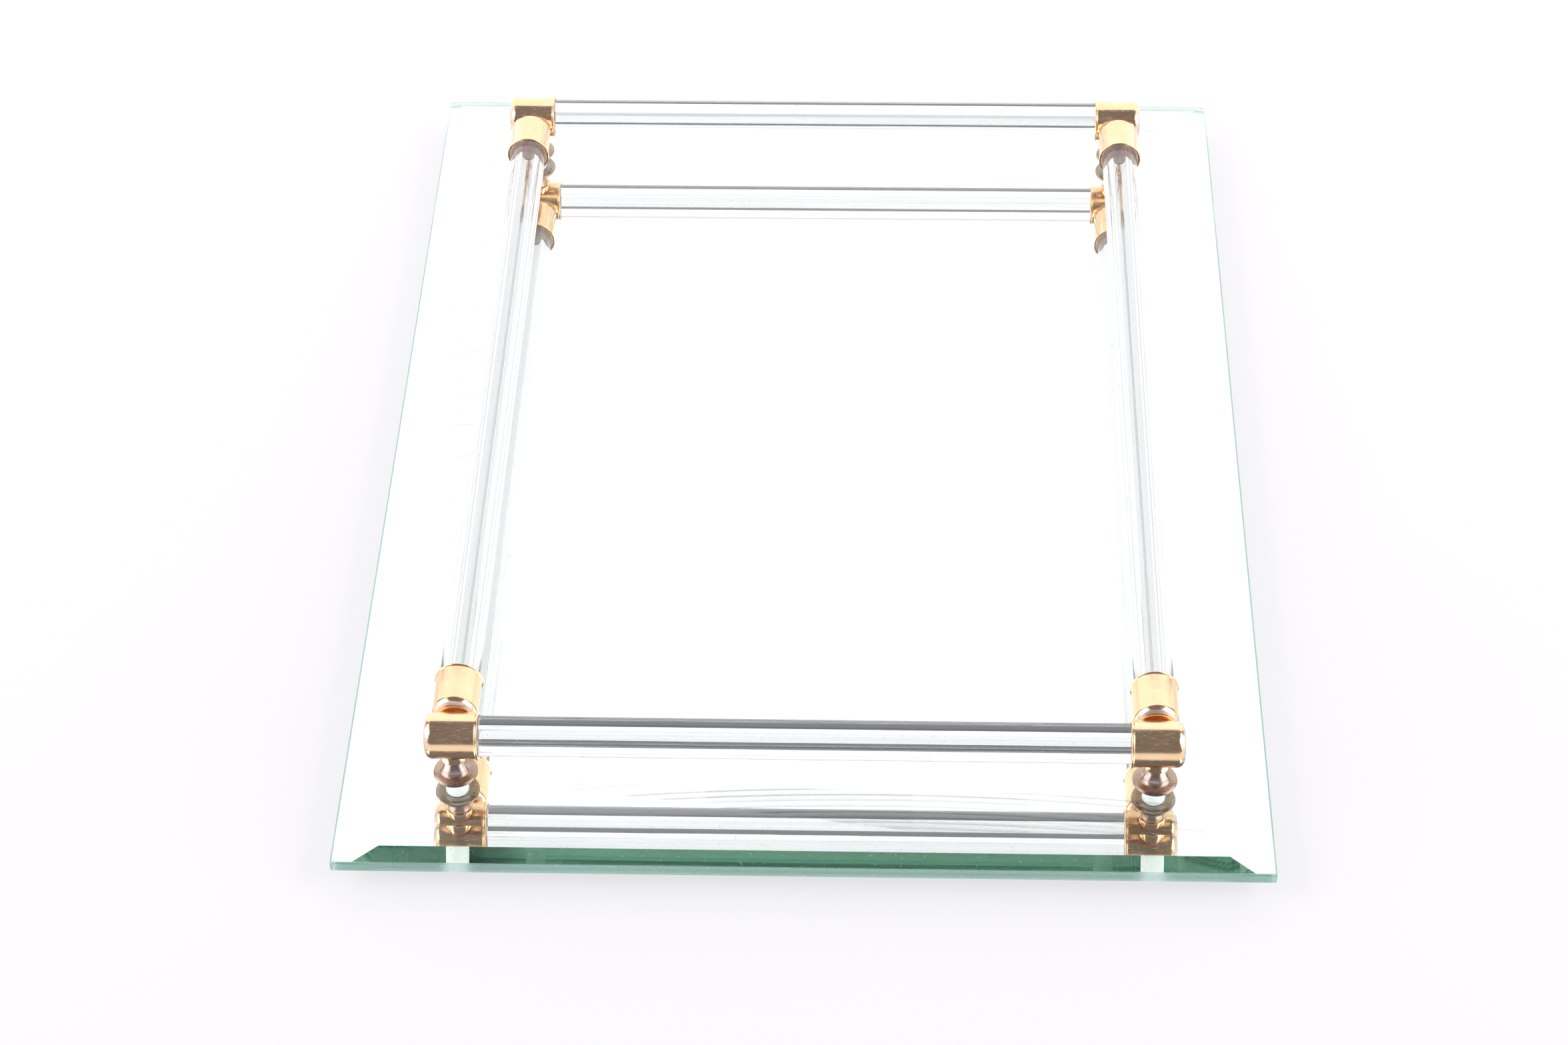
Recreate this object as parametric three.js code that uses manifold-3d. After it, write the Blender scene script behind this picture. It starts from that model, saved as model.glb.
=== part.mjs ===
// Dresser vanity tray: a bevelled mirror plate on four feet, with a low gallery of four clear
// rods held in gold caps at the corners. Millimetres, +Z up, front towards -Y. The origin is
// the middle of the tray on the surface that its feet stand on.
import * as THREE from 'three';
import { mergeVertices } from 'three/addons/utils/BufferGeometryUtils.js';
import Module from 'manifold-3d';

const wasm = await Module();
wasm.setup();

// Mirror plate: float glass, silvered underneath, with a wide bevel ground round its top.
const plateWidth = 260;
const plateDepth = 350;
const plateThickness = 6;
const plateEdgeHeight = 3.4;
const bevelWidth = 12;
const holeRadius = 3.25;

// Protective sheet stuck over the silvering.
const backingThickness = 0.3;
const backingInset = 1;

// Corner fittings stand on the drilled holes, this far in from the plate's edges.
const fittingInsetX = 32.2;
const fittingInsetY = 32;
const rodAxisHeight = 15.1; // above the glass

// Clear rods: thick-walled tube, with a narrow bore from end to end.
const rodRadius = 5.65;
const rodBoreRadius = 2;
const rodChamfer = 0.5;
const rodPlay = 0.35; // round each rod in its cap
const rodEndPlay = 0.3;

// Drawn brass caps, all eight alike but for the holes in them.
const capWall = 0.5;
const capLength = 15;
const capEndFillet = 2.4;
const lipFlare = 0.35;
const lipHeight = 0.55;
const capSeatGap = 0.15; // side cap's end to the cross cap's wall

// Core plug inside each cross cap.
const plugClearance = 0.12;
const plugFaceInset = 4.7; // from the cap's mouth to the plug's face
const plugEndGap = 0.3;
const plugChamfer = 1.9;

// Fasteners.
const longScrewRadius = 1.9;
const longScrewHeadRadius = 3.2;
const longScrewHeadHeight = 2;
const longScrewTipGap = 2.4; // below the rod axis
const capScrewRadius = 1.4;
const capScrewHeadRadius = 2.7;
const capScrewHeadHeight = 1.6;
const capScrewGrip = 3.6; // thread inside the plug
const screwClearance = 0.2;
const slotWidth = 0.8;
const slotDepth = 0.9;

// Turned post with its round flange, and the ring under it.
const postRadius = 3;
const coveTop = 5.1; // above the flange's underside
const coveWidth = 1.75; // out from the shank at its foot
const collarStep = 1; // out from the shank
const collarDrop = 1.5; // below the cross cap's underside
const flangeRadius = 6.25;
const flangeHeight = 1.3; // at the foot of the cove
const flangeEdgeHeight = 0.85;
const flangeRounding = 0.3;
const saddleGap = 0.3;
const gasketRadius = 5.2;
const gasketThickness = 0.4;

// Sleeve between the screw and the glass.
const sleeveClearance = 0.12;

// Foot, its washer and the recess for the screw's head.
const footHeight = 6;
const footTopRadius = 8;
const footBottomRadius = 7.2;
const footRounding = 0.5;
const footWeb = 2.2;
const footRecessClearance = 0.4; // round the washer
const footWasherRadius = 4.1;
const footWasherThickness = 0.6;

// Facets of each kind of round piece.
const capFacets = 24;
const postFacets = 20;
const footFacets = 20;
const rodFacets = 24;
const ringFacets = 16;
const screwFacets = 10;
const filletSteps = 2;
const coveSteps = 4;

// Places that follow from the sizes above.
const fittingX = plateWidth / 2 - fittingInsetX;
const fittingY = plateDepth / 2 - fittingInsetY;
const plateBottom = footHeight + backingThickness;
const plateTop = plateBottom + plateThickness;
const rodAxisZ = plateTop + rodAxisHeight;
const capBore = rodRadius + rodPlay;
const capRadius = capBore + capWall;
const collarRadius = postRadius + collarStep;
const footRecessRadius = footWasherRadius + footRecessClearance;
const longScrewHole = longScrewRadius + screwClearance;
const capScrewHole = capScrewRadius + screwClearance;
const crossCapMouth = fittingX - capLength / 2;
const sideCapEnd = fittingY - capRadius - capSeatGap;
const sideCapMouth = sideCapEnd - capLength;
const capScrewHeadFace = sideCapEnd - capWall - screwClearance;

const materials = {
  glass: { color: 0xdfeee8, roughness: 0.03, metalness: 0 },
  silvering: { color: 0x8d9096, roughness: 0.45, metalness: 0.2 },
  clearRod: { color: 0xf2f6f6, roughness: 0.04, metalness: 0 },
  goldPlate: { color: 0xe8b466, roughness: 0.14, metalness: 1 },
  coppery: { color: 0xb98462, roughness: 0.2, metalness: 1 },
  brass: { color: 0xc8a252, roughness: 0.4, metalness: 1 },
  steel: { color: 0xb9bbbe, roughness: 0.35, metalness: 1 },
  nylon: { color: 0xf3f3ee, roughness: 0.6, metalness: 0 },
  rubber: { color: 0xd9d6cc, roughness: 0.7, metalness: 0 },
};

const X = new THREE.Vector3(1, 0, 0);
const Y = new THREE.Vector3(0, 1, 0);
const Z = new THREE.Vector3(0, 0, 1);

// A solid turned about +Z from [radius, height] points, run up its outside.
function turned(points, facets) {
  const outline = points.map(([radius, height]) => new THREE.Vector2(radius, height));
  return new THREE.LatheGeometry(outline, facets).rotateX(Math.PI / 2);
}

// A turned ring, whose outline closes on itself.
function turnedRing(points, facets) {
  return turned([...points, points[0]], facets);
}

function rod(radius, low, high, facets) {
  const height = high - low;
  const bar = new THREE.CylinderGeometry(radius, radius, height, facets).rotateX(Math.PI / 2);
  return bar.translate(0, 0, (low + high) / 2);
}

function tube(outer, inner, low, high, facets) {
  return turnedRing([[outer, low], [outer, high], [inner, high], [inner, low]], facets);
}

// Points of a quarter round from one end angle to the other, in degrees.
function quarterRound(centreRadius, centreHeight, radius, from, to) {
  const points = [];
  for (let step = 0; step <= filletSteps; step++) {
    const angle = THREE.MathUtils.degToRad(from + ((to - from) * step) / filletSteps);
    points.push([centreRadius + radius * Math.cos(angle), centreHeight + radius * Math.sin(angle)]);
  }
  return points;
}

// Turns geometry made along +Z so that it runs along another direction.
function along(geometry, direction) {
  return geometry.applyQuaternion(new THREE.Quaternion().setFromUnitVectors(Z, direction));
}

function toManifold(geometry) {
  const bare = geometry.clone();
  bare.deleteAttribute('normal');
  bare.deleteAttribute('uv');
  const merged = mergeVertices(bare, 1e-4);
  const index = merged.index.array;
  const triangles = [];
  for (let i = 0; i < index.length; i += 3) {
    const [a, b, c] = [index[i], index[i + 1], index[i + 2]];
    if (a !== b && b !== c && c !== a) triangles.push(a, b, c);
  }
  return new wasm.Manifold(new wasm.Mesh({
    numProp: 3,
    vertProperties: new Float32Array(merged.attributes.position.array),
    triVerts: new Uint32Array(triangles),
  }));
}

function toGeometry(manifold) {
  const mesh = manifold.getMesh();
  const geometry = new THREE.BufferGeometry();
  geometry.setAttribute('position', new THREE.BufferAttribute(mesh.vertProperties, 3));
  geometry.setIndex(new THREE.BufferAttribute(mesh.triVerts, 1));
  geometry.computeVertexNormals();
  return geometry;
}

function cut(geometry, ...tools) {
  let body = toManifold(geometry);
  for (const tool of tools) body = body.subtract(toManifold(tool));
  return toGeometry(body);
}

const tray = new THREE.Group();

function add(group, name, geometry, finish) {
  const mesh = new THREE.Mesh(geometry, new THREE.MeshStandardMaterial(materials[finish]));
  mesh.name = name;
  group.add(mesh);
  return mesh;
}

// The four drilled holes, as cutting bars between two heights.
function holeBars(low, high) {
  const bars = [];
  for (const sx of [-1, 1]) {
    for (const sy of [-1, 1]) {
      bars.push(rod(holeRadius, low, high, ringFacets).translate(sx * fittingX, sy * fittingY, 0));
    }
  }
  return bars;
}

// A bar with the bevelled section across it, the given width over all and as long as asked.
function bevelledBar(width, length) {
  const half = width / 2;
  const section = new THREE.Shape([
    new THREE.Vector2(-half, 0),
    new THREE.Vector2(half, 0),
    new THREE.Vector2(half, plateEdgeHeight),
    new THREE.Vector2(half - bevelWidth, plateThickness),
    new THREE.Vector2(bevelWidth - half, plateThickness),
    new THREE.Vector2(-half, plateEdgeHeight),
  ]);
  const bar = new THREE.ExtrudeGeometry(section, { depth: length, bevelEnabled: false });
  return bar.translate(0, 0, -length / 2);
}

// Glass plate: two bevelled bars crossed, so that the bevels meet in mitres, and drilled.
function mirrorPlate() {
  const across = bevelledBar(plateWidth, plateDepth + 2 * bevelWidth);
  const endways = bevelledBar(plateDepth, plateWidth + 2 * bevelWidth);
  across.applyMatrix4(new THREE.Matrix4().makeBasis(X, Z, Y.clone().negate()));
  endways.applyMatrix4(new THREE.Matrix4().makeBasis(Y, Z, X));
  let glass = toManifold(across).intersect(toManifold(endways));
  for (const bar of holeBars(-1, plateThickness + 1)) glass = glass.subtract(toManifold(bar));
  return toGeometry(glass);
}

function backingSheet() {
  const width = plateWidth - 2 * backingInset;
  const depth = plateDepth - 2 * backingInset;
  const sheet = new THREE.BoxGeometry(width, depth, backingThickness);
  sheet.translate(0, 0, backingThickness / 2);
  return cut(sheet, ...holeBars(-1, backingThickness + 1));
}

// Clear rod about +Z, bored right through, with its ends lightly chamfered.
function clearRod(length) {
  const half = length / 2;
  return turnedRing([
    [rodBoreRadius, -half],
    [rodRadius - rodChamfer, -half],
    [rodRadius, rodChamfer - half],
    [rodRadius, half - rodChamfer],
    [rodRadius - rodChamfer, half],
    [rodBoreRadius, half],
  ], rodFacets);
}

// The cap's skin from the bottom of its bore, round the lip at its mouth, to its closed end.
// The mouth is at height 0 and the closed end above it.
function capSkin() {
  const innerFillet = capEndFillet - capWall;
  const innerEnd = capLength - capWall;
  return [
    ...quarterRound(capBore - innerFillet, innerEnd - innerFillet, innerFillet, 90, 0),
    [capBore, 0],
    [capRadius + lipFlare, 0],
    [capRadius + lipFlare, lipHeight],
    [capRadius, lipHeight + lipFlare],
    ...quarterRound(capRadius - capEndFillet, capLength - capEndFillet, capEndFillet, 0, 90),
  ];
}

// Cap of the front or rear rod: a blind end, a hole below for the long screw and one in the
// wall that faces the middle of the tray for the cap screw.
function crossCap(outward, inward) {
  const blank = turned([[0, capLength - capWall], ...capSkin(), [0, capLength]], capFacets);
  blank.translate(0, 0, -capLength / 2);
  const screwHole = rod(longScrewHole, -capRadius - 1, 0, screwFacets);
  const sideHole = along(rod(capScrewHole, 0, capRadius + 1, screwFacets), inward);
  return cut(along(blank, outward), screwHole, sideHole);
}

// Cap of a side rod, with the cap screw's hole through its end.
function sideCap(outward) {
  const ring = [...capSkin(), [capScrewHole, capLength], [capScrewHole, capLength - capWall]];
  return along(turnedRing(ring, capFacets), outward);
}

// Brass plug that fills the cross cap behind the rod, tapped for both screws.
function corePlug(outward, inward) {
  const radius = capBore - plugClearance;
  const low = plugFaceInset - capLength / 2;
  const high = capLength / 2 - capWall - plugEndGap;
  const blank = turned([
    [0, low],
    [radius, low],
    [radius, high - plugChamfer],
    [radius - plugChamfer, high],
    [0, high],
  ], ringFacets);
  const tapBelow = rod(longScrewHole, -capRadius, 0.5 - longScrewTipGap, screwFacets);
  const tapDepth = capRadius - capWall - capScrewGrip - 0.5;
  const tapBeside = along(rod(capScrewHole, tapDepth, capRadius, screwFacets), inward);
  return cut(along(blank, outward), tapBelow, tapBeside);
}

// Slotted screw about +Z: the head hangs below height 0 and the shank runs up to its length.
function slottedScrew(radius, length, headRadius, headHeight) {
  const blank = turned([
    [0, -headHeight],
    [headRadius - 0.7, -headHeight],
    [headRadius, 0.6 - headHeight],
    [headRadius, 0],
    [radius, 0],
    [radius, length - 0.5],
    [radius - 0.5, length],
    [0, length],
  ], screwFacets);
  const slot = new THREE.BoxGeometry(4 * headRadius, slotWidth, 2 * slotDepth);
  return cut(blank, slot.translate(0, 0, -headHeight));
}

// Post from the gasket up to the cross cap: flange, cove, shank and collar, with a saddle that
// clears the cap.
function post() {
  const capUnderside = rodAxisHeight - gasketThickness - capRadius;
  const collarLow = capUnderside - collarDrop;
  const top = capUnderside + capRadius / 2;
  const cove = [];
  for (let step = 0; step <= coveSteps; step++) {
    const angle = (Math.PI / 2) * (step / coveSteps);
    const radius = postRadius + coveWidth * (1 - Math.sin(angle));
    cove.push([radius, coveTop - (coveTop - flangeHeight) * Math.cos(angle)]);
  }
  const blank = turnedRing([
    [longScrewHole, 0],
    [flangeRadius - flangeRounding, 0],
    [flangeRadius, flangeRounding],
    [flangeRadius, flangeEdgeHeight - flangeRounding],
    [flangeRadius - flangeRounding, flangeEdgeHeight],
    ...cove,
    [postRadius, collarLow - 0.3],
    [collarRadius, collarLow],
    [collarRadius, top],
    [longScrewHole, top],
  ], postFacets);
  const saddle = along(rod(capRadius + saddleGap, -flangeRadius, flangeRadius, capFacets), X);
  return cut(blank, saddle.translate(0, 0, rodAxisHeight - gasketThickness));
}

function foot() {
  return turnedRing([
    [footBottomRadius - footRounding, 0],
    [footBottomRadius, footRounding],
    [footTopRadius, footHeight - footRounding],
    [footTopRadius - footRounding, footHeight],
    [longScrewHole, footHeight],
    [longScrewHole, footHeight - footWeb],
    [footRecessRadius, footHeight - footWeb],
    [footRecessRadius, 0],
  ], footFacets);
}

// One corner: the fitting above the glass and all that clamps it through the drilled hole.
function addCorner(name, sx, sy) {
  const corner = new THREE.Group();
  corner.position.set(sx * fittingX, sy * fittingY, 0);
  tray.add(corner);
  const outwardX = X.clone().multiplyScalar(sx);
  const outwardY = Y.clone().multiplyScalar(sy);
  const inwardY = outwardY.clone().negate();
  const place = (piece, geometry, finish, y, z) => {
    add(corner, `${name}_${piece}`, geometry, finish).position.set(0, sy * y, z);
  };
  place('cross_cap', crossCap(outwardX, inwardY), 'goldPlate', 0, rodAxisZ);
  place('core_plug', corePlug(outwardX, inwardY), 'brass', 0, rodAxisZ);
  place('side_cap', sideCap(outwardY), 'goldPlate', sideCapMouth - fittingY, rodAxisZ);

  const capScrewLength = fittingY - capBore + capScrewGrip - capScrewHeadFace;
  const capScrew = slottedScrew(
    capScrewRadius, capScrewLength, capScrewHeadRadius, capScrewHeadHeight);
  place('cap_screw', along(capScrew, outwardY), 'steel', capScrewHeadFace - fittingY, rodAxisZ);

  place('post', post(), 'coppery', 0, plateTop + gasketThickness);
  const gasket = tube(gasketRadius, longScrewHole, 0, gasketThickness, ringFacets);
  place('gasket', gasket, 'nylon', 0, plateTop);
  const sleeveHeight = plateTop - footHeight;
  const sleeve = tube(holeRadius - sleeveClearance, longScrewHole, 0, sleeveHeight, ringFacets);
  place('sleeve', sleeve, 'nylon', 0, footHeight);
  place('foot', foot(), 'rubber', 0, 0);

  const washerLow = footHeight - footWeb - footWasherThickness;
  const washer = tube(footWasherRadius, longScrewHole, 0, footWasherThickness, ringFacets);
  place('foot_washer', washer, 'steel', 0, washerLow);
  const longScrewLength = rodAxisZ - longScrewTipGap - washerLow;
  const longScrew = slottedScrew(
    longScrewRadius, longScrewLength, longScrewHeadRadius, longScrewHeadHeight);
  place('long_screw', longScrew, 'steel', 0, washerLow);
}

add(tray, 'mirror_plate', mirrorPlate(), 'glass').position.z = plateBottom;
add(tray, 'backing_sheet', backingSheet(), 'silvering').position.z = footHeight;

const crossRodLength = 2 * (crossCapMouth + plugFaceInset - rodEndPlay);
const sideRodLength = 2 * (capScrewHeadFace - capScrewHeadHeight - rodEndPlay);
for (const [name, sy] of [['front_rod', -1], ['rear_rod', 1]]) {
  const bar = add(tray, name, along(clearRod(crossRodLength), X), 'clearRod');
  bar.position.set(0, sy * fittingY, rodAxisZ);
}
for (const [name, sx] of [['left_rod', -1], ['right_rod', 1]]) {
  const bar = add(tray, name, along(clearRod(sideRodLength), Y), 'clearRod');
  bar.position.set(sx * fittingX, 0, rodAxisZ);
}

addCorner('front_left', -1, -1);
addCorner('front_right', 1, -1);
addCorner('rear_left', -1, 1);
addCorner('rear_right', 1, 1);

export default tray;
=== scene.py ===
import bpy
import bmesh
from math import cos, pi, radians, sin
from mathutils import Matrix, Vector


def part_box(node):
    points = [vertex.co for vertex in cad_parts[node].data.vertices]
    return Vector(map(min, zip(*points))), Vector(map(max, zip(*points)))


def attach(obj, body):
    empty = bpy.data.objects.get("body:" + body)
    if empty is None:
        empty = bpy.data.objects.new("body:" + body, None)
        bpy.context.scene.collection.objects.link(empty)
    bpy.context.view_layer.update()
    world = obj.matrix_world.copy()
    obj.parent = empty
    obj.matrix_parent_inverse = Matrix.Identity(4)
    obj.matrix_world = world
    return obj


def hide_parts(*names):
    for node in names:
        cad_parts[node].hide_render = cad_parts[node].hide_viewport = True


mm = 0.001
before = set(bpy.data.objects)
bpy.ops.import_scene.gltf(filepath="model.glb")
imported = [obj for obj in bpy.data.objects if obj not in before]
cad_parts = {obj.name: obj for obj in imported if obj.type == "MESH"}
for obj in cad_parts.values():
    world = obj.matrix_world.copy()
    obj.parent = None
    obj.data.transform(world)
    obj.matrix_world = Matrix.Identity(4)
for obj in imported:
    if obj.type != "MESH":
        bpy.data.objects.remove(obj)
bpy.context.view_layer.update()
corners = {"front_left": (-1, -1), "front_right": (1, -1), "rear_left": (-1, 1), "rear_right": (1, 1)}
boltHole = 2.1  # radius of the hole for the long screw, in mm
capScrewHole = 1.6
wallSlack = 0.05  # how far a face's middle may stand off the wall it belongs to, in mm


def clearSelection():
    if bpy.context.object and bpy.context.object.mode != 'OBJECT':
        bpy.ops.object.mode_set(mode='OBJECT')
    bpy.ops.object.select_all(action='DESELECT')


def makeActive(piece):
    clearSelection()
    piece.select_set(True)
    bpy.context.view_layer.objects.active = piece


def pieceName(label, ending):
    # front_left and "Post" give frontLeftPost
    place, side = label.split("_")
    return place + side.title() + ending


def middle(nodeName):
    low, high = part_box(nodeName)
    return (low + high) / 2


def pickFaces(piece, wanted):
    # in edit mode: select only the faces whose middle and normal pass the test
    bpy.ops.mesh.select_mode(type='FACE')
    mesh = bmesh.from_edit_mesh(piece.data)
    for face in mesh.faces:
        face.select_set(bool(wanted(face.calc_center_median(), face.normal)))
    mesh.select_flush_mode()
    bmesh.update_edit_mesh(piece.data)


def pickEdges(piece, wanted):
    # in edit mode: select only the edges whose two ends pass the test
    bpy.ops.mesh.select_mode(type='EDGE')
    mesh = bmesh.from_edit_mesh(piece.data)
    for part in list(mesh.faces) + list(mesh.edges) + list(mesh.verts):
        part.select_set(False)
    for edge in mesh.edges:
        if wanted(edge.verts[0].co, edge.verts[1].co):
            edge.select_set(True)
    bmesh.update_edit_mesh(piece.data)


def arc(radius, height, size, start, end, steps):
    # points of a round in a turned outline, angles in degrees from straight out
    points = []
    for step in range(steps + 1):
        turn = radians(start + (end - start) * step / steps)
        points.append((radius + size * cos(turn), height + size * sin(turn)))
    return points


def turnOutline(name, outline, steps, ring=False):
    # draw the outline point by point beside the Z axis, then spin it right round
    clearSelection()
    bpy.ops.mesh.primitive_plane_add(size=0.001, location=(0, 0, 0))
    piece = bpy.context.object
    piece.name = name
    points = [(radius * mm, height * mm) for radius, height in outline]
    bpy.ops.object.mode_set(mode='EDIT')
    bpy.ops.mesh.select_mode(type='VERT')
    bpy.ops.mesh.select_all(action='SELECT')
    bpy.ops.mesh.merge(type='CENTER')
    bpy.ops.transform.translate(value=(points[0][0], 0, points[0][1]))
    for (oldRadius, oldHeight), (radius, height) in zip(points, points[1:]):
        move = (radius - oldRadius, 0, height - oldHeight)
        bpy.ops.mesh.extrude_region_move(TRANSFORM_OT_translate={"value": move})
    if ring:
        mesh = bmesh.from_edit_mesh(piece.data)
        for spot in mesh.verts:
            spot.select_set(len(spot.link_edges) == 1)
        mesh.select_flush_mode()
        bmesh.update_edit_mesh(piece.data)
        bpy.ops.mesh.edge_face_add()
    bpy.ops.mesh.select_all(action='SELECT')
    bpy.ops.mesh.spin(steps=steps, angle=2 * pi, center=(0, 0, 0), axis=(0, 0, 1))
    bpy.ops.mesh.select_all(action='SELECT')
    bpy.ops.mesh.remove_doubles(threshold=0.000004)
    bpy.ops.mesh.normals_make_consistent(inside=False)
    bpy.ops.object.mode_set(mode='OBJECT')
    turning = piece.data.attributes.new("turning", 'FLOAT', 'POINT')
    for spot, mark in zip(piece.data.vertices, turning.data):
        mark.value = (Vector(spot.co[:2]).length + spot.co.z) / mm
    return piece


def smooth(piece, angle=32):
    makeActive(piece)
    bpy.ops.object.shade_smooth_by_angle(angle=radians(angle))


def settle(piece):
    # leave the piece's place in its mesh and its object at the origin
    makeActive(piece)
    bpy.ops.object.transform_apply(location=True, rotation=True, scale=True)


def putAt(piece, place, turn=(0, 0, 0)):
    piece.rotation_euler = [radians(angle) for angle in turn]
    piece.location = place
    settle(piece)
    return piece


def copyOf(piece, name):
    makeActive(piece)
    bpy.ops.object.duplicate(linked=False)
    twin = bpy.context.object
    twin.name = name
    twin.data.name = name
    return twin


def cutWith(piece, cutter):
    makeActive(piece)
    bpy.ops.object.modifier_add(type='BOOLEAN')
    change = piece.modifiers[-1]
    change.operation = 'DIFFERENCE'
    change.solver = 'EXACT'
    change.object = cutter
    bpy.ops.object.modifier_apply(modifier=change.name)
    bpy.data.objects.remove(cutter, do_unlink=True)


def drillBit(radius, length, place, turn=(0, 0, 0), sides=48):
    # a bar from its place along its own +Z
    clearSelection()
    bpy.ops.mesh.primitive_cylinder_add(vertices=sides, radius=radius * mm, depth=length * mm)
    bit = bpy.context.object
    bpy.ops.object.mode_set(mode='EDIT')
    bpy.ops.transform.translate(value=(0, 0, length * mm / 2))
    bpy.ops.object.mode_set(mode='OBJECT')
    return putAt(bit, place, turn)


def secondFinish(piece, material, wanted):
    # give the faces that pass the test another material
    piece.data.materials.append(material)
    makeActive(piece)
    bpy.ops.object.mode_set(mode='EDIT')
    pickFaces(piece, wanted)
    piece.active_material_index = len(piece.data.materials) - 1
    bpy.ops.object.material_slot_assign()
    bpy.ops.object.mode_set(mode='OBJECT')


def finishPiece(piece, body, slot, material, *nodes):
    if material is not None:
        piece.data.materials.clear()
        piece.data.materials.append(material)
    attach(piece, body)
    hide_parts(*nodes)


def newMaterial(name):
    material = bpy.data.materials.new(name)
    material.use_nodes = True
    tree = material.node_tree
    shader = tree.nodes["Principled BSDF"]
    return material, tree, shader


def node(tree, kind, **settings):
    made = tree.nodes.new(kind)
    for key, value in settings.items():
        setattr(made, key, value)
    return made


def noiseAt(tree, coords, scale, detail, roughness=0.55, stretch=(1, 1, 1), turn=(0, 0, 0), distortion=0):
    mapping = node(tree, 'ShaderNodeMapping')
    mapping.inputs['Rotation'].default_value = [radians(angle) for angle in turn]
    mapping.inputs['Scale'].default_value = stretch
    tree.links.new(coords.outputs['Object'], mapping.inputs['Vector'])
    noise = node(tree, 'ShaderNodeTexNoise')
    noise.inputs['Scale'].default_value = scale
    noise.inputs['Detail'].default_value = detail
    noise.inputs['Roughness'].default_value = roughness
    noise.inputs['Distortion'].default_value = distortion
    tree.links.new(mapping.outputs['Vector'], noise.inputs['Vector'])
    return noise.outputs['Fac']


def ramp(tree, source, stops):
    made = node(tree, 'ShaderNodeValToRGB')
    bar = made.color_ramp
    while len(bar.elements) < len(stops):
        bar.elements.new(0.5)
    for element, (place, colour) in zip(bar.elements, stops):
        element.position = place
        element.color = (*colour, 1)
    tree.links.new(source, made.inputs['Fac'])
    return made.outputs['Color']


def greys(tree, source, stops):
    return ramp(tree, source, [(place, (level, level, level)) for place, level in stops])


def spread(tree, source, low, high, fromLow=0.3, fromHigh=0.7):
    made = node(tree, 'ShaderNodeMapRange')
    made.inputs['From Min'].default_value = fromLow
    made.inputs['From Max'].default_value = fromHigh
    made.inputs['To Min'].default_value = low
    made.inputs['To Max'].default_value = high
    tree.links.new(source, made.inputs['Value'])
    return made.outputs['Result']


def blendColours(tree, factor, first, second):
    made = node(tree, 'ShaderNodeMix', data_type='RGBA')
    tree.links.new(factor, made.inputs[0])
    for socket, value in ((made.inputs[6], first), (made.inputs[7], second)):
        if hasattr(value, 'links'):
            tree.links.new(value, socket)
        else:
            socket.default_value = (*value, 1)
    return made.outputs[2]


def calc(tree, operation, first, second):
    made = node(tree, 'ShaderNodeMath', operation=operation)
    for socket, value in zip(made.inputs, (first, second)):
        if hasattr(value, 'links'):
            tree.links.new(value, socket)
        else:
            socket.default_value = value
    return made.outputs[0]


def addBump(tree, shader, height, strength, distance, onto=None):
    made = node(tree, 'ShaderNodeBump')
    made.inputs['Strength'].default_value = strength
    made.inputs['Distance'].default_value = distance
    tree.links.new(height, made.inputs['Height'])
    if onto is not None:
        tree.links.new(onto, made.inputs['Normal'])
    tree.links.new(made.outputs['Normal'], shader.inputs['Normal'])
    return made.outputs['Normal']


def latheRings(tree, pitch):
    # fine rings that follow a turned outline, from the run that turnOutline stores
    run = node(tree, 'ShaderNodeAttribute', attribute_name="turning")
    rings = node(tree, 'ShaderNodeTexNoise', noise_dimensions='1D')
    rings.inputs['Scale'].default_value = pitch
    rings.inputs['Detail'].default_value = 3
    tree.links.new(run.outputs['Fac'], rings.inputs['W'])
    return rings.outputs['Fac']


def platedMetal(name, light, deep, scuff, gloss, turned=0.0):
    # bright plate over brass: slow colour drift, polishing marks, handling scratches, dust
    material, tree, shader = newMaterial(name)
    coords = node(tree, 'ShaderNodeTexCoord')
    drift = noiseAt(tree, coords, 180, 3)
    spots = noiseAt(tree, coords, 900, 5)
    grain = noiseAt(tree, coords, 1, 3, 0.6, stretch=(90, 2400, 2400))
    lines = noiseAt(tree, coords, 1, 2, turn=(0, 35, 50), stretch=(350, 6500, 6500))
    scratches = greys(tree, lines, [(0.60, 0), (0.72, 1)])
    colour = ramp(tree, drift, [(0.32, deep), (0.68, light)])
    colour = blendColours(tree, spread(tree, spots, 0, 0.35), colour, deep)
    colour = blendColours(tree, spread(tree, grain, 0, 0.28, 0.5, 0.75), colour, scuff)
    colour = blendColours(tree, calc(tree, 'MULTIPLY', scratches, 0.5), colour, scuff)
    tree.links.new(colour, shader.inputs['Base Color'])
    shader.inputs['Metallic'].default_value = 1
    rough = calc(tree, 'ADD', spread(tree, spots, gloss[0], gloss[1]), calc(tree, 'MULTIPLY', scratches, 0.3))
    rough = calc(tree, 'ADD', rough, spread(tree, grain, 0, 0.12, 0.4, 0.75))
    tree.links.new(rough, shader.inputs['Roughness'])
    polish = noiseAt(tree, coords, 150, 2)
    first = addBump(tree, shader, polish, 0.05, 0.0006)
    if turned:
        rings = latheRings(tree, 5)
        first = addBump(tree, shader, rings, turned, 0.00003, first)
    addBump(tree, shader, scratches, 0.12, 0.00002, first)
    return material


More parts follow.
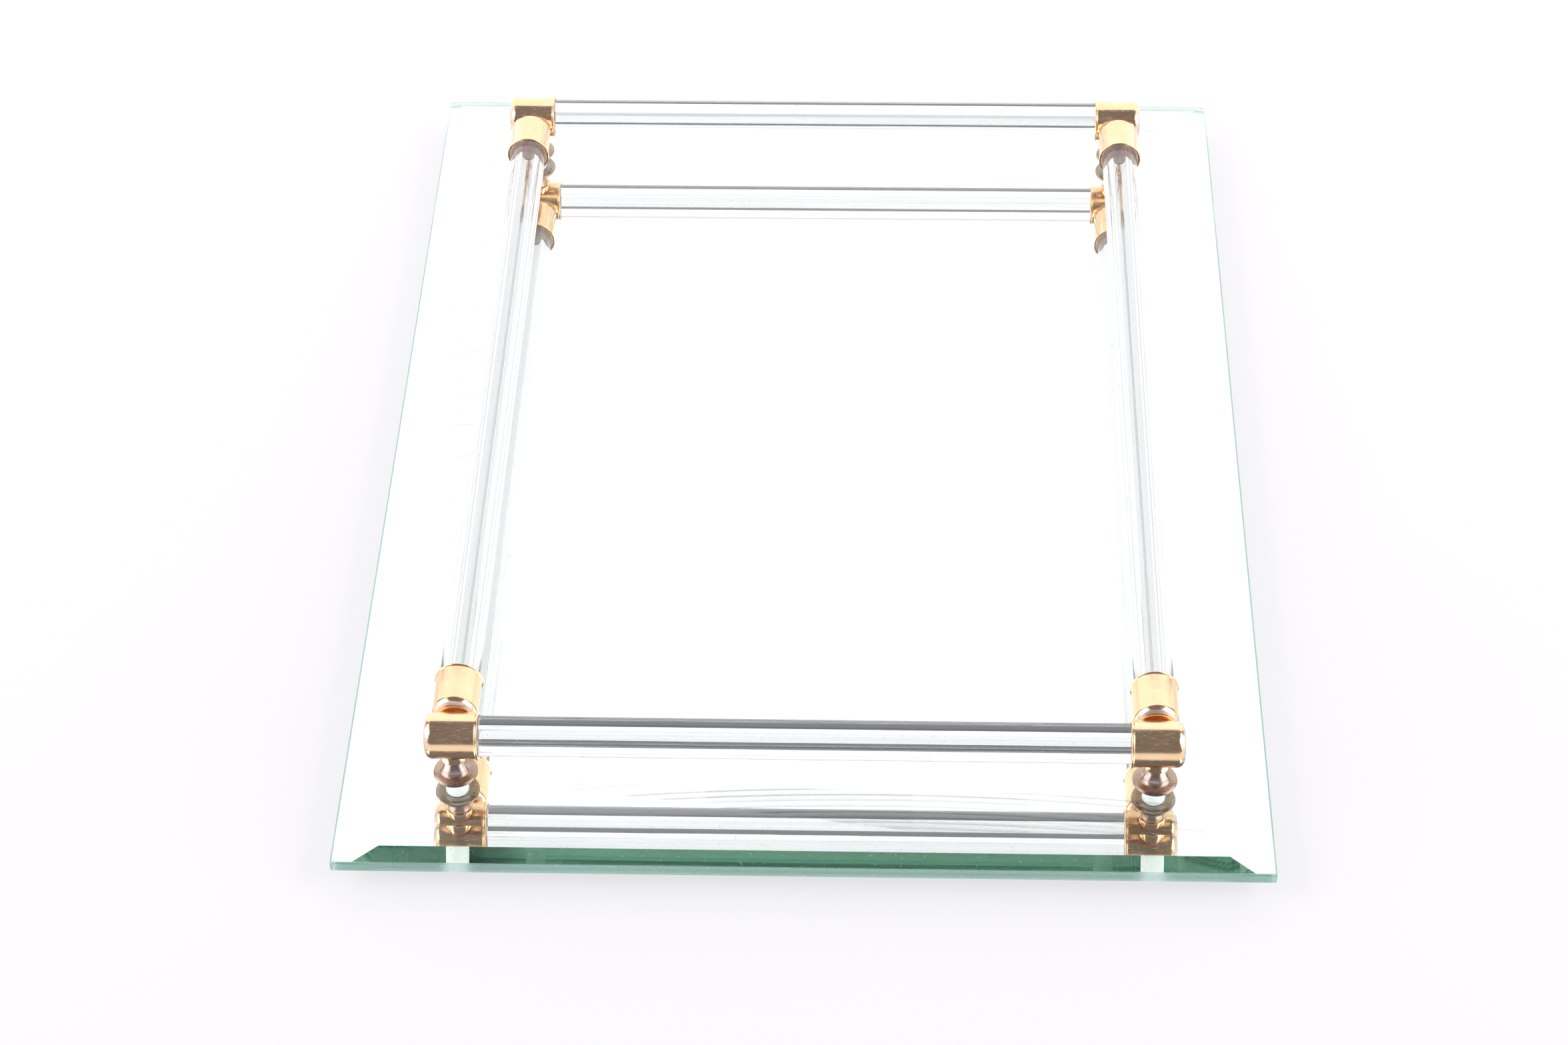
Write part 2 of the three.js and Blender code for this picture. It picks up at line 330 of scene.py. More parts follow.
def glassMaterial(name, tint, body, streaks=None, haze=0.0, ground=0.0, clear=1.0, glow=(0.0, 0.0)):
    # clear body with a little colour in its depth, hand marks and dust on its skin
    material, tree, shader = newMaterial(name)
    coords = node(tree, 'ShaderNodeTexCoord')
    smears = noiseAt(tree, coords, 22, 5, 0.65, distortion=0.6)
    dust = greys(tree, noiseAt(tree, coords, 1300, 2), [(0.71, 0), (0.76, 1)])
    pale = blendColours(tree, spread(tree, smears, 0, 1), tint, [min(1, level * 1.012) for level in tint])
    wiped = spread(tree, smears, haze, haze + 0.012, 0.5, 0.75)
    rough = calc(tree, 'ADD', wiped, calc(tree, 'MULTIPLY', dust, 0.25))
    if streaks:
        # lines along the rod as it was drawn, as a fine bump, and faint grey strokes painted into its colour
        # as painted streaks of reflection
        drawn = noiseAt(tree, coords, 1, 3, 0.6, stretch=streaks)
        broad = noiseAt(tree, coords, 1, 2, 0.5, stretch=[size * 0.35 for size in streaks])
        fine, patchy = spread(tree, drawn, 0, 1, 0.42, 0.68), spread(tree, broad, 0.25, 1, 0.4, 0.65)
        paintedStreaks = calc(tree, 'MULTIPLY', fine, patchy)
        pale = blendColours(tree, paintedStreaks, pale, [level * 0.87 for level in tint])
        addBump(tree, shader, drawn, 0.2, 0.00003)
    if ground:
        grit = noiseAt(tree, coords, 1400, 4)
        rough = calc(tree, 'ADD', rough, spread(tree, grit, ground * 0.8, ground * 1.2))
        addBump(tree, shader, grit, 0.3, 0.00003)
        # a small glow stands in for the light that a ground face scatters into the plate, which a render loses
        inner = node(tree, 'ShaderNodeNewGeometry')
        shader.inputs['Emission Color'].default_value = (*[level ** 0.5 for level in tint], 1)
        shine = spread(tree, inner.outputs['Backfacing'], *glow, 0, 1)
        tree.links.new(shine, shader.inputs['Emission Strength'])
    tree.links.new(pale, shader.inputs['Base Color'])
    tree.links.new(rough, shader.inputs['Roughness'])
    tree.links.new(spread(tree, dust, clear, clear * 0.6, 0, 1), shader.inputs['Transmission Weight'])
    shader.inputs['IOR'].default_value = body["index"]
    depth = node(tree, 'ShaderNodeVolumeAbsorption')
    depth.inputs['Color'].default_value = (*body["absorb"], 1)
    depth.inputs['Density'].default_value = body["density"]
    tree.links.new(depth.outputs['Volume'], tree.nodes["Material Output"].inputs['Volume'])
    return material


def silverMaterial():
    material, tree, shader = newMaterial("silvering")
    coords = node(tree, 'ShaderNodeTexCoord')
    bloom = noiseAt(tree, coords, 40, 6, 0.6)
    colour = ramp(tree, bloom, [(0.35, (0.93, 0.945, 0.93)), (0.65, (0.955, 0.965, 0.95))])
    tree.links.new(colour, shader.inputs['Base Color'])
    shader.inputs['Metallic'].default_value = 1
    tree.links.new(spread(tree, bloom, 0.0, 0.01), shader.inputs['Roughness'])
    return material


def softMaterial(name, light, dark, roughness, scale, bump, clear=0.0, veil=0.0):
    # moulded plastic, rubber or film: faint mottling, grime in the low spots, fine grain
    material, tree, shader = newMaterial(name)
    coords = node(tree, 'ShaderNodeTexCoord')
    mottle = noiseAt(tree, coords, scale, 5, 0.6)
    grain = noiseAt(tree, coords, scale * 8, 3)
    colour = ramp(tree, mottle, [(0.3, dark), (0.6, light)])
    tree.links.new(colour, shader.inputs['Base Color'])
    tree.links.new(spread(tree, grain, roughness - 0.08, roughness + 0.1), shader.inputs['Roughness'])
    shader.inputs['Transmission Weight'].default_value = clear
    if veil:
        shader.inputs['Subsurface Weight'].default_value = veil
        shader.inputs['Subsurface Radius'].default_value = (1, 1, 0.9)
        shader.inputs['Subsurface Scale'].default_value = 0.001
    addBump(tree, shader, grain, bump, 0.00008)
    return material


def turnedMetal(name, light, dark, roughness, pitch, glow=0.0):
    # plain machined metal with fine tool rings and a few dull patches
    material, tree, shader = newMaterial(name)
    coords = node(tree, 'ShaderNodeTexCoord')
    patches = noiseAt(tree, coords, 260, 4)
    rings = noiseAt(tree, coords, pitch, 2, stretch=(0.05, 0.05, 1))
    colour = ramp(tree, patches, [(0.35, dark), (0.65, light)])
    tree.links.new(colour, shader.inputs['Base Color'])
    shader.inputs['Metallic'].default_value = 1
    tree.links.new(spread(tree, patches, roughness, roughness + 0.18), shader.inputs['Roughness'])
    addBump(tree, shader, rings, 0.2, 0.00003)
    if glow:
        # a small glow stands in for the light that the rod pipes into the cap
        tree.links.new(colour, shader.inputs['Emission Color'])
        tree.links.new(spread(tree, rings, glow * 0.6, glow * 1.4), shader.inputs['Emission Strength'])
    return material


plateBody = {"absorb": (0.73, 0.87, 0.85), "density": 9, "index": 1.52}
rodBody = {"absorb": (0.97, 0.972, 0.972), "density": 3, "index": 1.49}
alongX, alongY = (9, 2000, 2000), (2000, 9, 2000)

finishes = {
    "goldPlate": platedMetal("gold_plate", light=(1.0, 0.73, 0.465), deep=(1.0, 0.66, 0.38),
                             scuff=(1.0, 0.88, 0.73), gloss=(0.10, 0.17)),
    "roseGold": platedMetal("rose_gold_plate", light=(0.72, 0.55, 0.49), deep=(0.56, 0.40, 0.36),
                            scuff=(0.92, 0.80, 0.72), gloss=(0.22, 0.30), turned=0.25),
    # a darker copy of the post's plating for its flange: painted shade low on the post, beside the mirror
    "shadedFlange": platedMetal("flange_painted_dark", light=(0.50, 0.37, 0.28), deep=(0.36, 0.25, 0.20),
                             scuff=(0.74, 0.58, 0.44), gloss=(0.22, 0.32), turned=0.45),
    "mirrorGlass": glassMaterial("bevelled_glass", (0.988, 1.0, 0.99), plateBody),
    "groundGlass": glassMaterial("ground_glass", (0.72, 0.90, 0.87), plateBody,
                                 ground=0.32, clear=0.75, glow=(0.04, 0.42)),
    "drilledGlass": glassMaterial("drilled_glass", (0.97, 1.0, 0.97), plateBody,
                                  ground=0.5, clear=0.12, glow=(0.0, 0.72)),
    # the endways rods and their bores get a greyer tint than the ones across, though they are the same clear
    # rod: painted shade for the grey look that the side rods take from their surroundings
    "rodAcross": glassMaterial("drawn_rod_across", (0.95, 0.955, 0.955), rodBody, alongX),
    "rodEndways": glassMaterial("drawn_rod_endways_shaded_grey", (0.80, 0.803, 0.806), rodBody, alongY),
    "boreAcross": glassMaterial("rod_bore_across", (0.98, 0.98, 0.98), rodBody, alongX, haze=0.05),
    "boreEndways": glassMaterial("rod_bore_endways_shaded_grey", (0.95, 0.95, 0.95), rodBody, alongY, haze=0.05),
    "capBore": turnedMetal("dull_cap_bore", light=(0.80, 0.66, 0.60), dark=(0.58, 0.46, 0.44),
                           roughness=0.3, pitch=2400, glow=0.32),
    "silvering": silverMaterial(),
    "backing": softMaterial("backing_film", light=(0.36, 0.37, 0.39), dark=(0.26, 0.27, 0.29),
                            roughness=0.45, scale=60, bump=0.25),
    "nylon": softMaterial("pale_nylon", light=(0.93, 0.93, 0.90), dark=(0.84, 0.84, 0.79),
                          roughness=0.5, scale=500, bump=0.15, veil=0.4),
    "vinyl": softMaterial("soft_vinyl", light=(0.97, 0.97, 0.93), dark=(0.93, 0.93, 0.87),
                          roughness=0.12, scale=500, bump=0.03, clear=0.95),
    "footRubber": softMaterial("pale_rubber", light=(0.72, 0.71, 0.66), dark=(0.52, 0.51, 0.47),
                               roughness=0.62, scale=300, bump=0.3),
    "brass": turnedMetal("turned_brass", light=(0.82, 0.62, 0.30), dark=(0.62, 0.43, 0.19),
                         roughness=0.28, pitch=3000),
    "steel": turnedMetal("zinc_steel", light=(0.72, 0.74, 0.77), dark=(0.52, 0.53, 0.55),
                         roughness=0.26, pitch=2600),
}
print("materials ready")

plate = {
    "edgeHeight": 3.4, "bevelWidth": 12, "arris": 0.9, "holeRadius": 3.25,
    "drillLength": 30, "drillBelow": 10, "rimWidth": 1,
}


def makePlate():
    low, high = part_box("mirror_plate")
    width, depth = high.x - low.x, high.y - low.y
    centre = (low + high) / 2
    edge = plate["edgeHeight"] * mm
    clearSelection()
    spot = (centre.x, centre.y, low.z + edge / 2)
    bpy.ops.mesh.primitive_cube_add(size=1, location=spot, scale=(width, depth, edge))
    piece = bpy.context.object
    piece.name = "mirrorPlate"
    settle(piece)
    bpy.ops.object.mode_set(mode='EDIT')
    pickFaces(piece, lambda place, normal: normal.z > 0.9)
    bpy.ops.mesh.extrude_region_move(TRANSFORM_OT_translate={"value": (0, 0, high.z - low.z - edge)})
    inset = 2 * plate["bevelWidth"] * mm
    shrink = ((width - inset) / width, (depth - inset) / depth, 1)
    bpy.ops.transform.resize(value=shrink, center_override=(centre.x, centre.y, high.z))
    # seamed arris round the foot and head of the edge, and up its corners
    pickEdges(piece, lambda a, b: max(a.z, b.z) < low.z + edge + 0.0001)
    bpy.ops.mesh.bevel(offset=plate["arris"] * mm, offset_type='WIDTH', segments=3, affect='EDGES')
    bpy.ops.object.mode_set(mode='OBJECT')
    for name in corners:
        spot = middle(name + "_post")
        start = (spot.x, spot.y, low.z - plate["drillBelow"] * mm)
        cutWith(piece, drillBit(plate["holeRadius"], plate["drillLength"], start, sides=64))
    smooth(piece, 8)  # below the slope of the bevel, so that its borders stay crisp
    piece.data.materials.append(finishes["mirrorGlass"])

    def fromBorder(place):
        return min(place.x - low.x, high.x - place.x, place.y - low.y, high.y - place.y)

    def onUnderside(place, normal):
        return normal.z < -0.99 and place.z < low.z + 0.00005

    def onEdge(place, normal):
        return abs(normal.z) < 0.9 and fromBorder(place) < plate["rimWidth"] * mm

    def onHoleWall(place, normal):
        return abs(normal.z) < 0.9 and fromBorder(place) > plate["rimWidth"] * mm

    secondFinish(piece, finishes["silvering"], onUnderside)
    secondFinish(piece, finishes["groundGlass"], onEdge)
    secondFinish(piece, finishes["drilledGlass"], onHoleWall)
    finishPiece(piece, "tray", "mirror_glass", None, "mirror_plate")


makePlate()
print("mirror plate made")

backing = {"holeRadius": 3.3, "cornerRound": 2.0, "drillLength": 4, "drillBelow": 1}


def makeBacking():
    low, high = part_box("backing_sheet")
    centre = (low + high) / 2
    size = high - low
    clearSelection()
    bpy.ops.mesh.primitive_cube_add(size=1, location=centre, scale=(size.x, size.y, size.z))
    piece = bpy.context.object
    piece.name = "backingFilm"
    settle(piece)
    bpy.ops.object.mode_set(mode='EDIT')
    pickEdges(piece, lambda a, b: abs(a.z - b.z) > size.z / 2)
    bpy.ops.mesh.bevel(offset=backing["cornerRound"] * mm, segments=6, affect='EDGES')
    bpy.ops.object.mode_set(mode='OBJECT')
    for name in corners:
        spot = middle(name + "_post")
        start = (spot.x, spot.y, low.z - backing["drillBelow"] * mm)
        cutWith(piece, drillBit(backing["holeRadius"], backing["drillLength"], start))
    smooth(piece)
    finishPiece(piece, "tray", "backing", finishes["backing"], "backing_sheet")


makeBacking()
print("backing film made")

rod = {"sides": 128, "bore": 2.0, "endRound": 0.5}


def makeRod(name, along):
    low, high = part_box(name)
    size = high - low
    length, radius = size[along] / mm, size.z / mm / 2
    edge = rod["endRound"]
    outline = [(rod["bore"], 0)] + arc(radius - edge, edge, edge, -90, 0, 5)
    outline += arc(radius - edge, length - edge, edge, 0, 90, 5) + [(rod["bore"], length)]
    piece = turnOutline(pieceName(name, "Clear"), outline, rod["sides"], ring=True)
    start = (low + high) / 2
    start[along] = low[along]
    smooth(piece, 35)
    # endways rods take the greyer tint, which is painted shade
    ending = "Across" if along == 0 else "Endways"
    piece.data.materials.append(finishes["rod" + ending])
    inBore = (rod["bore"] + wallSlack) * mm
    secondFinish(piece, finishes["bore" + ending], lambda place, normal: place.xy.length < inBore)
    putAt(piece, start, (0, 90, 0) if along == 0 else (-90, 0, 0))
    finishPiece(piece, name, "clear_rod", None, name)


for rodName in ("front_rod", "rear_rod"):
    makeRod(rodName, 0)
for rodName in ("left_rod", "right_rod"):
    makeRod(rodName, 1)
print("rods made")

cap = {
    "radius": 6.5, "wall": 0.5, "length": 15, "endRound": 2.4,
    "lipFlare": 0.35, "lipHeight": 0.6, "lipRound": 0.25, "lipSlope": 0.1,
    "mouthRound": 0.15, "neckRound": 0.12, "drillLength": 9, "drillShort": 0.5, "steps": 120,
}


def capOutline():
    # from the far end of the bore, out over the lip and back along the outside, mouth at height 0
    radius, wall, length, endRound = cap["radius"], cap["wall"], cap["length"], cap["endRound"]
    lip, mouth, neck = cap["lipRound"], cap["mouthRound"], cap["neckRound"]
    inner = endRound - wall
    rim = radius + cap["lipFlare"] - lip
    points = arc(radius - wall - inner, length - wall - inner, inner, 90, 0, 8)
    points += arc(radius - wall + mouth, mouth, mouth, 180, 270, 3)
    points += arc(rim, lip, lip, -90, 0, 5) + arc(rim, cap["lipHeight"] - lip, lip, 0, 60, 4)
    points += arc(radius + neck, cap["lipHeight"] + neck + cap["lipSlope"], neck, 240, 180, 3)
    points += arc(radius - endRound, length - endRound, endRound, 0, 90, 14)
    return points


def makeCaps():
    wall, length = cap["wall"], cap["length"]
    blind = turnOutline("capBlank", [(0, length - wall)] + capOutline() + [(0, length)], cap["steps"])
    ending = [(capScrewHole, length), (capScrewHole, length - wall)]
    pierced = turnOutline("capPierced", capOutline() + ending, cap["steps"], ring=True)
    inBore = (cap["radius"] - wall + wallSlack) * mm

    def onBore(place, normal):
        return place.xy.length < inBore and 0.0001 < place.z < (length - wall / 2) * mm

    for blank in (blind, pierced):
        blank.data.materials.append(finishes["goldPlate"])
        secondFinish(blank, finishes["capBore"], onBore)
    for name, (sideX, sideY) in corners.items():
        centre = middle(name + "_cross_cap")
        piece = copyOf(blind, pieceName(name, "CrossCap"))
        putAt(piece, (centre.x - sideX * length * mm / 2, centre.y, centre.z), (0, 90 * sideX, 0))
        below = (centre.x, centre.y, centre.z - (cap["drillLength"] + cap["drillShort"]) * mm)
        cutWith(piece, drillBit(boltHole, cap["drillLength"], below))
        cutWith(piece, drillBit(capScrewHole, cap["drillLength"], centre, (90 * sideY, 0, 0)))
        smooth(piece)
        finishPiece(piece, "tray", "gold", None, name + "_cross_cap")
        low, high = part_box(name + "_side_cap")
        mouth = high.y if sideY < 0 else low.y
        piece = copyOf(pierced, pieceName(name, "SideCap"))
        putAt(piece, (centre.x, mouth, centre.z), (-90 * sideY, 0, 0))
        smooth(piece)
        finishPiece(piece, "tray", "gold", None, name + "_side_cap")
    for spare in (blind, pierced):
        bpy.data.objects.remove(spare, do_unlink=True)


makeCaps()
print("caps made")

plug = {
    "radius": 5.88, "face": 4.7, "back": 14.2, "faceChamfer": 0.3, "chamfer": 1.9,
    "drillLength": 6, "boltStart": 7.9, "screwStart": 1.9, "steps": 64,
}


def makePlugs():
    radius, face, back = plug["radius"], plug["face"], plug["back"]
    outline = [(0, face), (radius - plug["faceChamfer"], face), (radius, face + plug["faceChamfer"])]
    outline += [(radius, back - plug["chamfer"]), (radius - plug["chamfer"], back), (0, back)]
    blank = turnOutline("plugBlank", outline, plug["steps"])
    for name, (sideX, sideY) in corners.items():
        centre = middle(name + "_cross_cap")
        piece = copyOf(blank, pieceName(name, "CorePlug"))
        putAt(piece, (centre.x - sideX * cap["length"] * mm / 2, centre.y, centre.z), (0, 90 * sideX, 0))
        below = (centre.x, centre.y, centre.z - plug["boltStart"] * mm)
        cutWith(piece, drillBit(boltHole, plug["drillLength"], below))
        beside = (centre.x, centre.y - sideY * plug["screwStart"] * mm, centre.z)
        cutWith(piece, drillBit(capScrewHole, plug["drillLength"], beside, (90 * sideY, 0, 0)))
        smooth(piece)
        finishPiece(piece, "tray", "brass", finishes["brass"], name + "_core_plug")
    bpy.data.objects.remove(blank, do_unlink=True)


makePlugs()
print("core plugs made")

post = {
    "flange": 6.25, "flangeTop": 1.3, "flangeEase": 0.3, "flangeHeel": 0.2,
    "flangeRound": 0.5, "flangeRoundAt": 0.45,
    "coveWidth": 1.75, "coveTop": 5.1, "coveSteps": 12, "shank": 3.0, "neckRound": 0.45,
    "collar": 4.0, "collarRound": 0.25, "collarDrop": 1.5, "under": 8.2, "cradleRise": 3,
    "axis": 14.7, "saddle": 6.8, "saddleLength": 20, "shadeFrom": 3.9, "shadeTop": 1.7, "steps": 96,
}


def makePosts():
    under, shank, flange, neck = post["under"], post["shank"], post["flange"], post["neckRound"]
    shoulder, collar, curl = under - post["collarDrop"], post["collar"], post["collarRound"]
    heel, rim, top = post["flangeHeel"], post["flangeRound"], under + post["cradleRise"]
    outline = [(boltHole, 0), (flange - post["flangeEase"], 0)]
    outline += arc(flange - heel, heel, heel, -60, 0, 3)
    outline += arc(flange - rim, post["flangeRoundAt"], rim, 0, 62, 5)
    for step in range(post["coveSteps"] + 1):
        turn = radians(90 * step / post["coveSteps"])
        radius = shank + post["coveWidth"] * (1 - sin(turn))
        outline += [(radius, post["coveTop"] - (post["coveTop"] - post["flangeTop"]) * cos(turn))]
    outline += [(shank, shoulder - neck)]
    outline += arc(shank + neck, shoulder - neck, neck, 180, 90, 4)
    outline += arc(collar - curl, shoulder + curl, curl, -90, 0, 4)
    outline += [(collar, top), (boltHole, top)]
    blank = turnOutline("postBlank", outline, post["steps"], ring=True)
    start = (-post["saddleLength"] * mm / 2, 0, post["axis"] * mm)
    cutWith(blank, drillBit(post["saddle"], post["saddleLength"], start, (0, 90, 0), sides=post["steps"]))

    def onCollar(place, normal):
        return place.z > (shoulder - 0.02) * mm

    # the faces low on the flange take the darker plating, which is painted shade
    def onShadedFlange(place, normal):
        return place.z < post["shadeTop"] * mm and place.xy.length > post["shadeFrom"] * mm

    blank.data.materials.append(finishes["roseGold"])
    secondFinish(blank, finishes["goldPlate"], onCollar)
    secondFinish(blank, finishes["shadedFlange"], onShadedFlange)
    for name in corners:
        low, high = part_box(name + "_post")
        spot = middle(name + "_cross_cap")
        piece = copyOf(blank, pieceName(name, "Post"))
        putAt(piece, (spot.x, spot.y, low.z))
        smooth(piece, 28)
        finishPiece(piece, "tray", "copper_gold", None, name + "_post")
    bpy.data.objects.remove(blank, do_unlink=True)


makePosts()
print("posts made")

foot = {
    "height": 6, "top": 8, "bottom": 7.2, "round": 0.6, "web": 2.2,
    "recess": 4.5, "recessRound": 0.3, "steps": 72,
}
sleeve = {
    "outer": 3.13, "chamfer": 0.1, "grooves": 9, "grooveDepth": 0.07,
    "grooveEnd": 0.12, "grooveStart": 0.2, "grooveLow": 0.04,
}
gasket = {"outer": 5.2, "ease": 0.02}
washer = {"outer": 4.1, "edge": 0.12}
longScrew = {"radius": 1.9, "head": 3.2, "headHeight": 2, "headRound": 0.7, "pitch": 0.7, "slot": (0.8, 0.9)}
capScrew = {"radius": 1.4, "head": 2.7, "headHeight": 1.6, "headRound": 0.7, "pitch": 0.5, "slot": (0.8, 0.9)}
thread = {
    "root": 0.9, "neck": 0.92, "tip": 0.7, "start": 0.6, "runOut": 1.2, "tipLength": 0.4,
    "rise": 0.35, "crest": 0.5, "steps": 48,
}  # root, neck and tip are shares of the shank's radius, rise and crest of the pitch
ringSteps = 64


def heightOf(nodeName):
    low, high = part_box(nodeName)
    return (high.z - low.z) / mm


def copyToCorners(blank, ending, slot, material, nodeEnding):
    for name in corners:
        low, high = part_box(name + nodeEnding)
        spot = middle(name + "_cross_cap")
        piece = copyOf(blank, pieceName(name, ending))
        putAt(piece, (spot.x, spot.y, low.z))
        smooth(piece)
        finishPiece(piece, "tray", slot, material, name + nodeEnding)
    bpy.data.objects.remove(blank, do_unlink=True)


def makeFeet():
    top, bottom, edge, height = foot["top"], foot["bottom"], foot["round"], foot["height"]
    recess, hollow, fillet = foot["recess"], height - foot["web"], foot["recessRound"]
    outline = arc(bottom - edge, edge, edge, -90, -5, 6) + arc(top - edge, height - edge, edge, 5, 90, 6)
    outline += [(boltHole, height), (boltHole, hollow), (recess, hollow)]
    outline += arc(recess + fillet, fillet, fillet, 180, 270, 4)
    blank = turnOutline("footBlank", outline, foot["steps"], ring=True)
    copyToCorners(blank, "Foot", "foot_rubber", finishes["footRubber"], "_foot")


def makeSleeves():
    height, outer, chamfer = heightOf("front_left_sleeve"), sleeve["outer"], sleeve["chamfer"]
    step = height / sleeve["grooves"]
    outline = [(boltHole, 0), (outer - chamfer, 0)]
    for turn in range(sleeve["grooves"]):
        start = turn * step
        outline += [(outer, start + sleeve["grooveEnd"]), (outer, start + step - sleeve["grooveStart"])]
        if turn < sleeve["grooves"] - 1:
            outline += [(outer - sleeve["grooveDepth"], start + step - sleeve["grooveLow"])]
    outline += [(outer - chamfer, height), (boltHole, height)]
    blank = turnOutline("sleeveBlank", outline, ringSteps, ring=True)
    copyToCorners(blank, "Sleeve", "white_nylon", finishes["nylon"], "_sleeve")


def makeGaskets():
    height, ease = heightOf("front_left_gasket"), gasket["ease"]
    rim = height / 2 - ease
    outline = [(boltHole, ease)] + arc(gasket["outer"] - rim, height / 2, rim, -90, 90, 8)
    outline += [(boltHole, height - ease)]
    blank = turnOutline("gasketBlank", outline, ringSteps, ring=True)
    copyToCorners(blank, "Gasket", "clear_vinyl", finishes["vinyl"], "_gasket")


def makeWashers():
    height, outer, edge = heightOf("front_left_foot_washer"), washer["outer"], washer["edge"]
    outline = [(boltHole, 0), (outer - edge, 0), (outer, edge)]
    outline += [(outer, height - edge), (outer - edge, height), (boltHole, height)]
    blank = turnOutline("washerBlank", outline, ringSteps, ring=True)
    copyToCorners(blank, "FootWasher", "steel", finishes["steel"], "_foot_washer")


def screwBlank(name, sizes, length):
    # rounded slotted head below, grooved shank above, head's top face at height 0
    radius, head, deep, edge = sizes["radius"], sizes["head"], sizes["headHeight"], sizes["headRound"]
    root, pitch = radius * thread["root"], sizes["pitch"]
    rise, crest = pitch * thread["rise"], pitch * thread["crest"]
    outline = [(0, -deep)] + arc(head - edge, edge - deep, edge, -90, 0, 6)
    outline += [(head, 0), (radius * thread["neck"], 0)]
    height = thread["start"]
    while height < length - thread["runOut"]:
        outline += [(root, height), (radius, height + rise), (radius, height + crest)]
        height += pitch
    outline += [(root, height), (root, length - thread["tipLength"])]
    outline += [(radius * thread["tip"], length), (0, length)]
    blank = turnOutline(name, outline, thread["steps"])
    width, depth = sizes["slot"]
    clearSelection()
    slotSize = (4 * head * mm, width * mm, 2 * depth * mm)
    bpy.ops.mesh.primitive_cube_add(size=1, location=(0, 0, -deep * mm), scale=slotSize)
    cutWith(blank, bpy.context.object)
    return blank


def makeScrews():
    length = heightOf("front_left_long_screw") - longScrew["headHeight"]
    blank = screwBlank("longScrewBlank", longScrew, length)
    for name in corners:
        low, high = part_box(name + "_long_screw")
        spot = middle(name + "_cross_cap")
        piece = copyOf(blank, pieceName(name, "LongScrew"))
        putAt(piece, (spot.x, spot.y, low.z + longScrew["headHeight"] * mm))
        smooth(piece)
        finishPiece(piece, "tray", "steel", finishes["steel"], name + "_long_screw")
    bpy.data.objects.remove(blank, do_unlink=True)

    low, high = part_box("front_left_cap_screw")
    length = (high.y - low.y) / mm - capScrew["headHeight"]
    blank = screwBlank("capScrewBlank", capScrew, length)
    for name, (sideX, sideY) in corners.items():
        low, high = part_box(name + "_cap_screw")
        spot = middle(name + "_cross_cap")
        head = capScrew["headHeight"] * mm
        start = low.y + head if sideY > 0 else high.y - head
        piece = copyOf(blank, pieceName(name, "CapScrew"))
        putAt(piece, (spot.x, start, spot.z), (-90 * sideY, 0, 0))
        smooth(piece)
        finishPiece(piece, "tray", "steel", finishes["steel"], name + "_cap_screw")
    bpy.data.objects.remove(blank, do_unlink=True)


makeFeet()
makeSleeves()
makeGaskets()
makeWashers()
makeScrews()
print("small pieces made")

studio = {
    "floorSize": 8,
    "floor": (0.34, 0.325, 0.34), "floorGlow": 0.65,
    # the room is what light and reflections meet, the backdrop only what the camera sees behind the tray
    "room": (0.20, 0.195, 0.22), "backdrop": (0.96, 0.955, 0.965),
    "backWidth": 1.3, "backHeight": 0.71, "backAt": 0.3, "backPower": 3.4,
    "sidePlace": (1.05, -0.28, 0.6), "sideSize": (1.1, 1.1), "sidePower": 11,
    "bounces": 64, "diffuseBounces": 4, "clamp": 8,
}
camera = {
    "place": (0.02258, -0.82494, 0.75006), "tilt": (46.829, 0.702, 1.616),
    "lens": 82.235, "sensor": 36, "nearest": 0.01,
}


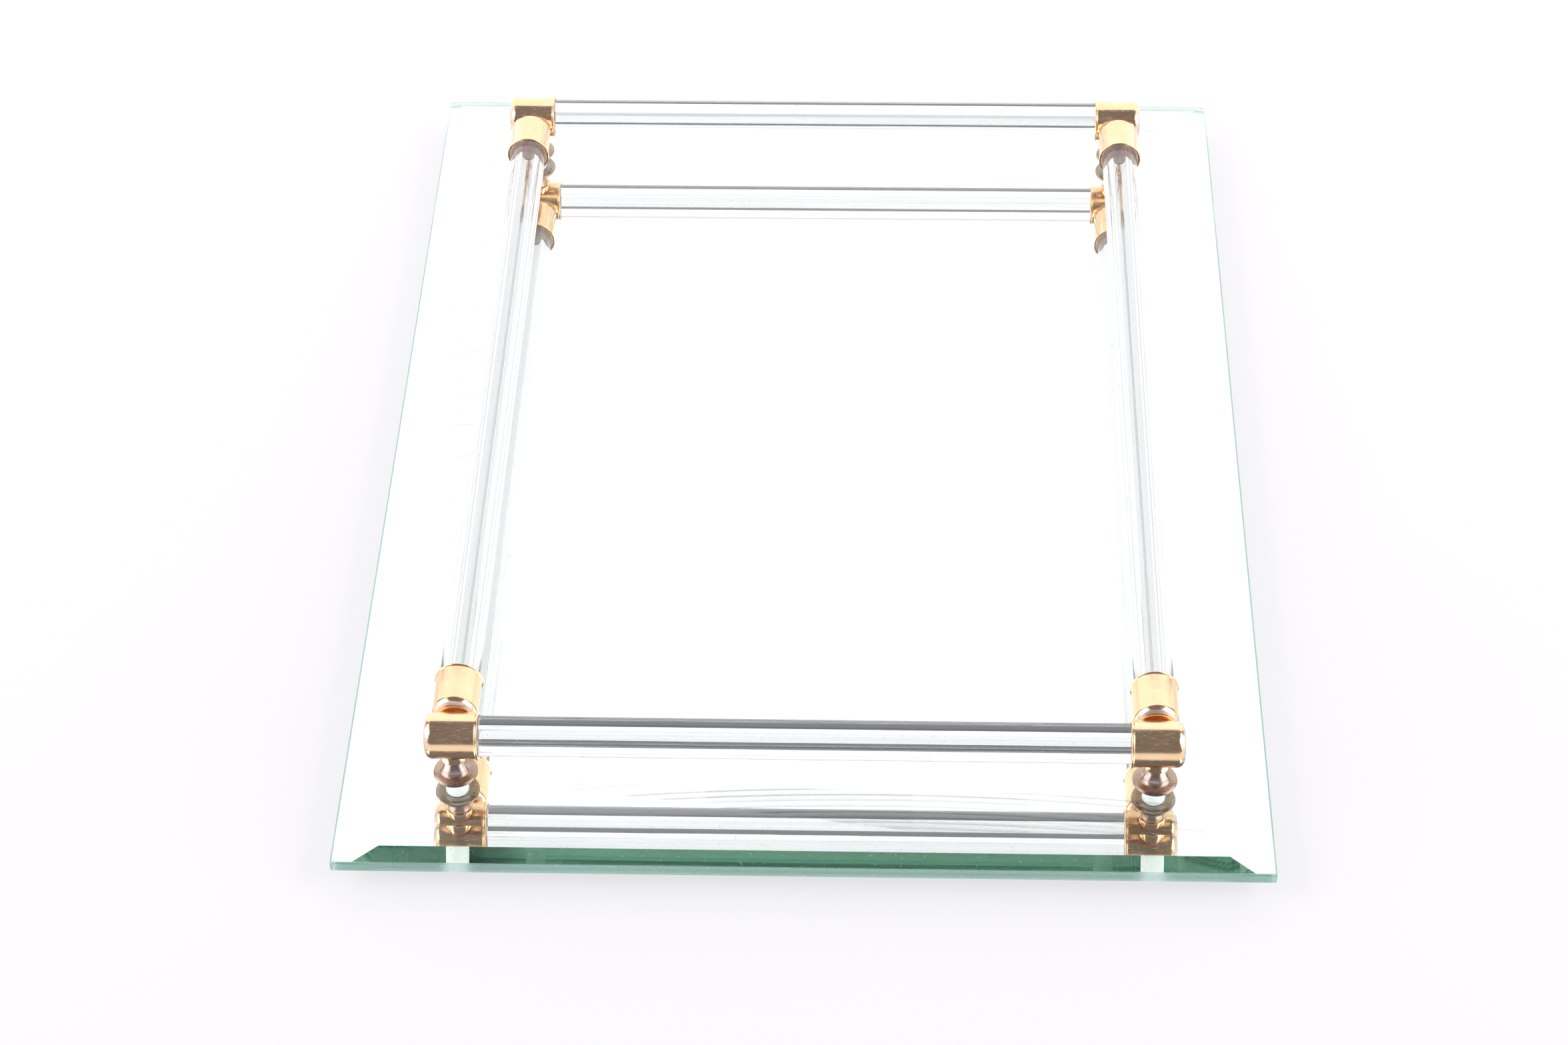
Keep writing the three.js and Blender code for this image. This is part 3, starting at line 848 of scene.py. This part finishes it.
def addFloor():
    clearSelection()
    bpy.ops.mesh.primitive_plane_add(size=studio["floorSize"], location=(0, 0, 0))
    floor = bpy.context.object
    floor.name = "floor"
    material, tree, shader = newMaterial("pale_floor")
    coords = node(tree, 'ShaderNodeTexCoord')
    grain = noiseAt(tree, coords, 9, 4)
    pale = studio["floor"]
    colour = ramp(tree, grain, [(0.3, [level * 0.99 for level in pale]), (0.7, pale)])
    tree.links.new(colour, shader.inputs['Base Color'])
    shader.inputs['Roughness'].default_value = 0.9
    shader.inputs['Specular IOR Level'].default_value = 0.1
    shader.inputs['Emission Color'].default_value = (1, 1, 1, 1)  # lit from below, as a light table
    shader.inputs['Emission Strength'].default_value = studio["floorGlow"]
    floor.data.materials.append(material)


def addLight(name, place, aim, size, power):
    clearSelection()
    bpy.ops.object.light_add(type='AREA', location=place)
    light = bpy.context.object
    light.name = name
    light.data.shape = 'RECTANGLE'
    light.data.size, light.data.size_y = size
    light.data.energy = power
    light.visible_camera = False
    light.rotation_euler = (Vector(aim) - Vector(place)).to_track_quat('-Z', 'Y').to_euler()


def addStudio():
    scene = bpy.context.scene
    world = bpy.data.worlds.new("room")
    world.use_nodes = True
    tree = world.node_tree
    rays = node(tree, 'ShaderNodeLightPath')
    seen = blendColours(tree, rays.outputs['Is Camera Ray'], studio["room"], studio["backdrop"])
    tree.links.new(seen, tree.nodes["Background"].inputs['Color'])
    scene.world = world
    addFloor()
    height, back = studio["backHeight"], studio["backAt"]
    wall = (studio["backWidth"], height)
    addLight("backWall", (0, back, height / 2), (0, 0, height / 2), wall, studio["backPower"])
    x, y, z = studio["sidePlace"]
    for name, side in (("leftSoftbox", -1), ("rightSoftbox", 1)):
        addLight(name, (side * x, y, z), (0, 0, 0.02), studio["sideSize"], studio["sidePower"])
    scene.view_settings.view_transform = 'Standard'
    cycles = scene.cycles
    cycles.max_bounces = studio["bounces"]  # light runs far inside the plate before it comes out
    cycles.glossy_bounces = studio["bounces"]
    cycles.transmission_bounces = studio["bounces"]
    cycles.diffuse_bounces = studio["diffuseBounces"]
    cycles.caustics_refractive = True
    cycles.sample_clamp_indirect = studio["clamp"]
    cycles.use_denoising = True


def addCamera():
    clearSelection()
    tilt = [radians(angle) for angle in camera["tilt"]]
    bpy.ops.object.camera_add(location=camera["place"], rotation=tilt)
    eye = bpy.context.object
    eye.data.lens = camera["lens"]
    eye.data.sensor_width = camera["sensor"]
    eye.data.clip_start = camera["nearest"]
    bpy.context.scene.camera = eye


addStudio()
addCamera()
print("studio ready")
